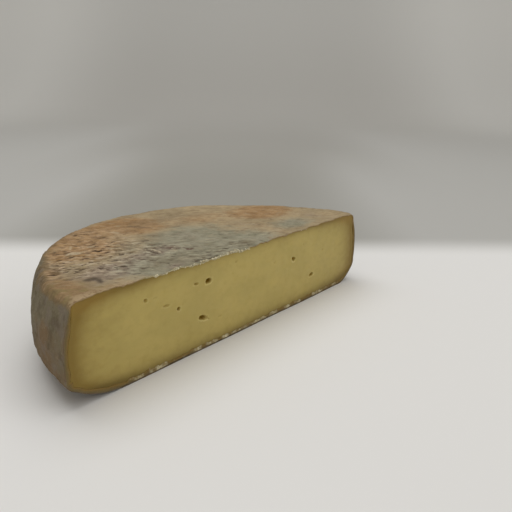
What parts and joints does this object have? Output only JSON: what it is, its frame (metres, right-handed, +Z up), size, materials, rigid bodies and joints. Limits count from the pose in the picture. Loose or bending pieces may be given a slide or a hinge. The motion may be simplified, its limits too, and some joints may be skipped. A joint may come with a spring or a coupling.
{
  "type": "half wheel of saint-nectaire cheese",
  "caption": "Half of a flat round semi-soft cheese lying on its base, with a mottled grey and orange rind and a pale cut face with small eyes.",
  "frame": {"origin": "middle of the bounding box seen from above, on the plane that the base rests on", "axes": "+X along the cut, from the end nearest to the picture's viewer to the far end; +Y away from the cut, towards the round side; +Z up"},
  "size_m": [0.2104, 0.1012, 0.0451],
  "materials": {
    "rind": "dry, wrinkled natural rind, mottled orange-brown and mould grey",
    "paste": "soft yellow paste with a faint waxy sheen, freshly cut"
  },
  "bodies": {
    "root": {"half_cheese": "rind"}
  },
  "joints": []
}
